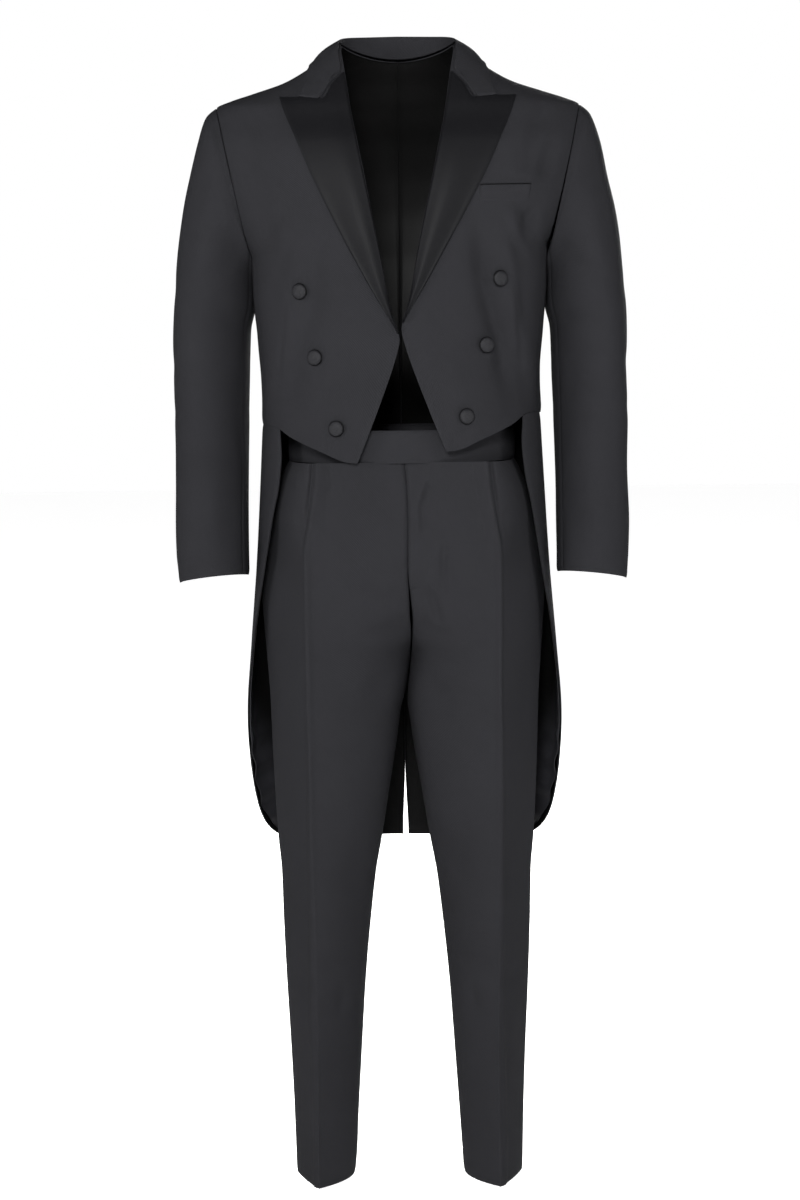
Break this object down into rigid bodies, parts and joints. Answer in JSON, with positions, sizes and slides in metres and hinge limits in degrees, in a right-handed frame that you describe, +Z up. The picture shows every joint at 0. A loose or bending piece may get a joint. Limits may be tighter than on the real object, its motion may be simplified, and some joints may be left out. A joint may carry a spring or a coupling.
{
  "type": "wedding suit",
  "caption": "Evening suit, filled out as worn: cutaway tailcoat with satin peak lapels, covered buttons and lined tails, over pleated trousers",
  "frame": {"origin": "middle of the neck base, level with the top of the shoulders, where the wearer holds the coat up", "axes": "+Z up along the body, -Y to the front, +X to the wearer's left"},
  "size_m": [0.597, 0.2723, 1.519],
  "materials": {
    "suit_cloth": "black worsted wool with a fine weave and a faint sheen",
    "facing_satin": "black silk satin, smooth and softly shining",
    "lining_satin": "black satin lining",
    "button_cloth": "domed buttons covered in black ribbed silk"
  },
  "bodies": {
    "root": {"back_left": "suit_cloth", "back_right": "suit_cloth", "breast_welt": "suit_cloth", "button_left_1": "button_cloth", "button_left_2": "button_cloth", "button_left_3": "button_cloth", "button_right_1": "button_cloth", "button_right_2": "button_cloth", "button_right_3": "button_cloth", "collar": "suit_cloth", "collar_stand": "suit_cloth", "fly": "suit_cloth", "front_left": "suit_cloth", "front_right": "suit_cloth", "lapel_left": "facing_satin", "lapel_right": "facing_satin", "side_body_left": "suit_cloth", "side_body_right": "suit_cloth", "tail_left": "suit_cloth", "tail_lining_left": "lining_satin", "tail_lining_right": "lining_satin", "tail_right": "suit_cloth", "top_sleeve_left": "suit_cloth", "top_sleeve_right": "suit_cloth", "trouser_back_left": "suit_cloth", "trouser_back_right": "suit_cloth", "trouser_front_left": "suit_cloth", "trouser_front_right": "suit_cloth", "under_sleeve_left": "suit_cloth", "under_sleeve_right": "suit_cloth", "waistband": "suit_cloth"}
  },
  "joints": []
}
